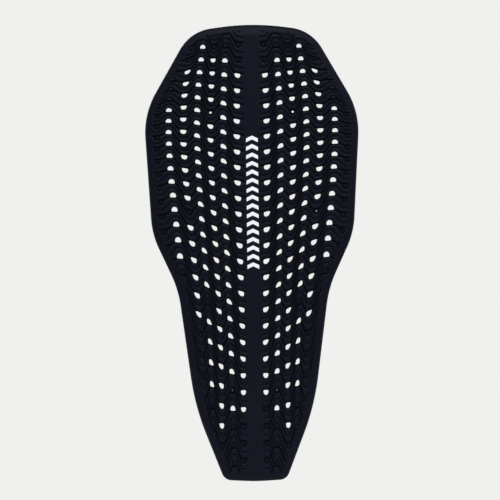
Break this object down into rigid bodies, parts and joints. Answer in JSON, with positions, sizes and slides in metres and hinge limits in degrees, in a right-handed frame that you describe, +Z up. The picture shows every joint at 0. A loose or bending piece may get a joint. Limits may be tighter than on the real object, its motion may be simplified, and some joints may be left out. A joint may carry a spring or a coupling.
{
  "type": "back protector insert",
  "caption": "Full-length back protector insert: a perforated sheet of wave-ribbed foam with a smooth spine strip, in level bands that flex with the wearer's back.",
  "frame": {"origin": "middle of the flat body side, on the spine line at mid-height", "axes": "+Z up the spine, towards the neck; +Y out of the flat body side, towards the wearer; -Y out of the ribbed outer face; +X to the wearer's right"},
  "size_m": [0.2246, 0.0148, 0.48],
  "materials": {
    "rib_foam": "satin moulded skin with fine grain",
    "back_foam": "matt foam skin",
    "print": "flat screen print"
  },
  "bodies": {
    "band_1": {"rib_panel_left_1": "rib_foam", "rib_panel_right_1": "rib_foam", "spine_strip_1": "rib_foam", "back_layer_1": "back_foam"},
    "band_2": {"rib_panel_left_2": "rib_foam", "rib_panel_right_2": "rib_foam", "spine_strip_2": "rib_foam", "back_layer_2": "back_foam"},
    "band_3": {"rib_panel_left_3": "rib_foam", "rib_panel_right_3": "rib_foam", "spine_strip_3": "rib_foam", "back_layer_3": "back_foam", "printed_mark_3": "print"},
    "band_4": {"rib_panel_left_4": "rib_foam", "rib_panel_right_4": "rib_foam", "spine_strip_4": "rib_foam", "back_layer_4": "back_foam", "printed_mark_4": "print"},
    "band_5": {"rib_panel_left_5": "rib_foam", "rib_panel_right_5": "rib_foam", "spine_strip_5": "rib_foam", "back_layer_5": "back_foam", "printed_mark_5": "print"},
    "band_6": {"rib_panel_left_6": "rib_foam", "rib_panel_right_6": "rib_foam", "spine_strip_6": "rib_foam", "back_layer_6": "back_foam"},
    "band_7": {"rib_panel_left_7": "rib_foam", "rib_panel_right_7": "rib_foam", "spine_strip_7": "rib_foam", "back_layer_7": "back_foam"},
    "band_8": {"rib_panel_left_8": "rib_foam", "rib_panel_right_8": "rib_foam", "spine_strip_8": "rib_foam", "back_layer_8": "back_foam"},
    "band_9": {"rib_panel_left_9": "rib_foam", "rib_panel_right_9": "rib_foam", "spine_strip_9": "rib_foam", "back_layer_9": "back_foam"}
  },
  "joints": [
    {"name": "flex_1_2", "type": "hinge", "parent": "band_2", "child": "band_1", "pos_m": [0, -0.003, 0.18667], "axis": [-1, 0, 0], "range_deg": [-5, 10], "stiffness_Nm_per_rad": 1.5},
    {"name": "flex_2_3", "type": "hinge", "parent": "band_3", "child": "band_2", "pos_m": [0, -0.003, 0.13333], "axis": [-1, 0, 0], "range_deg": [-5, 10], "stiffness_Nm_per_rad": 1.5},
    {"name": "flex_3_4", "type": "hinge", "parent": "band_4", "child": "band_3", "pos_m": [0, -0.003, 0.08], "axis": [-1, 0, 0], "range_deg": [-5, 10], "stiffness_Nm_per_rad": 1.5},
    {"name": "upper_back_flex", "type": "hinge", "parent": "band_5", "child": "band_4", "pos_m": [0, -0.003, 0.02667], "axis": [-1, 0, 0], "range_deg": [-5, 10], "stiffness_Nm_per_rad": 1.5},
    {"name": "lower_back_flex", "type": "hinge", "parent": "band_5", "child": "band_6", "pos_m": [0, -0.003, -0.02667], "axis": [1, 0, 0], "range_deg": [-5, 10], "stiffness_Nm_per_rad": 1.5},
    {"name": "flex_6_7", "type": "hinge", "parent": "band_6", "child": "band_7", "pos_m": [0, -0.003, -0.08], "axis": [1, 0, 0], "range_deg": [-5, 10], "stiffness_Nm_per_rad": 1.5},
    {"name": "flex_7_8", "type": "hinge", "parent": "band_7", "child": "band_8", "pos_m": [0, -0.003, -0.13333], "axis": [1, 0, 0], "range_deg": [-5, 10], "stiffness_Nm_per_rad": 1.5},
    {"name": "flex_8_9", "type": "hinge", "parent": "band_8", "child": "band_9", "pos_m": [0, -0.003, -0.18667], "axis": [1, 0, 0], "range_deg": [-5, 10], "stiffness_Nm_per_rad": 1.5}
  ],
  "couplings": [
    {"joint": "flex_1_2", "follows": "upper_back_flex", "ratio": 1},
    {"joint": "flex_2_3", "follows": "upper_back_flex", "ratio": 1},
    {"joint": "flex_3_4", "follows": "upper_back_flex", "ratio": 1},
    {"joint": "flex_6_7", "follows": "lower_back_flex", "ratio": 1},
    {"joint": "flex_7_8", "follows": "lower_back_flex", "ratio": 1},
    {"joint": "flex_8_9", "follows": "lower_back_flex", "ratio": 1}
  ]
}
